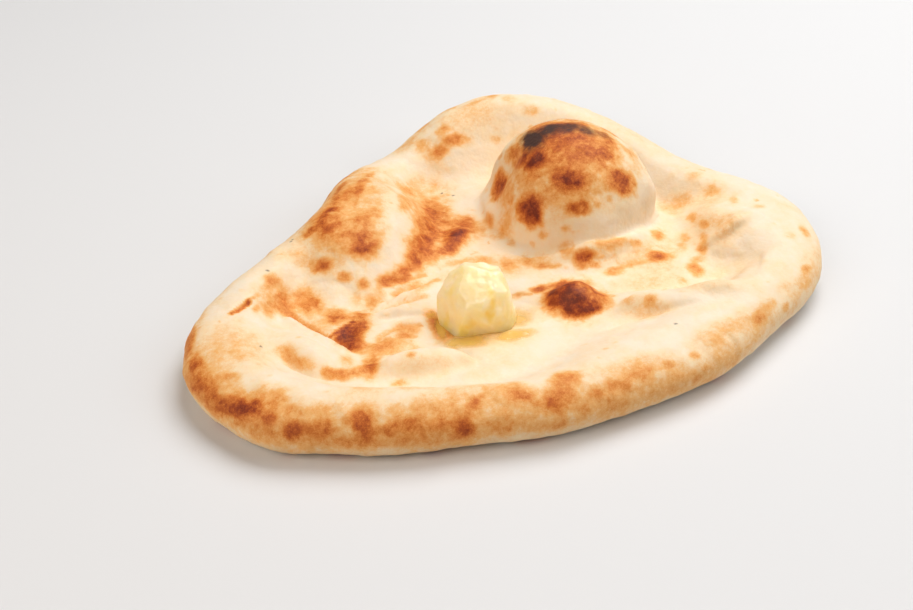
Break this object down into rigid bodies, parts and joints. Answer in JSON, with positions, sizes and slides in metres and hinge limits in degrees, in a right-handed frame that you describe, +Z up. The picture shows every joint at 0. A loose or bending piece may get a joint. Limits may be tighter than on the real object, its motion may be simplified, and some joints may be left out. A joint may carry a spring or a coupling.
{
  "type": "naan bread",
  "caption": "Tear-shaped leavened flatbread with a puffed rim, a large bubble and toasted blisters, and a knob of butter melting on top.",
  "frame": {"origin": "middle of the bread's box in plan, at the level of its flat underside", "axes": "+X along the long front edge towards the broad end, +Y towards the humped back edge, +Z up"},
  "size_m": [0.2514, 0.2052, 0.046],
  "materials": {
    "baked_dough": "pale baked dough, toasted brown in patches, charred on the bubble",
    "butter": "soft butter, a little shiny where it melts"
  },
  "bodies": {
    "root": {"naan": "baked_dough", "butter": "butter"}
  },
  "joints": []
}
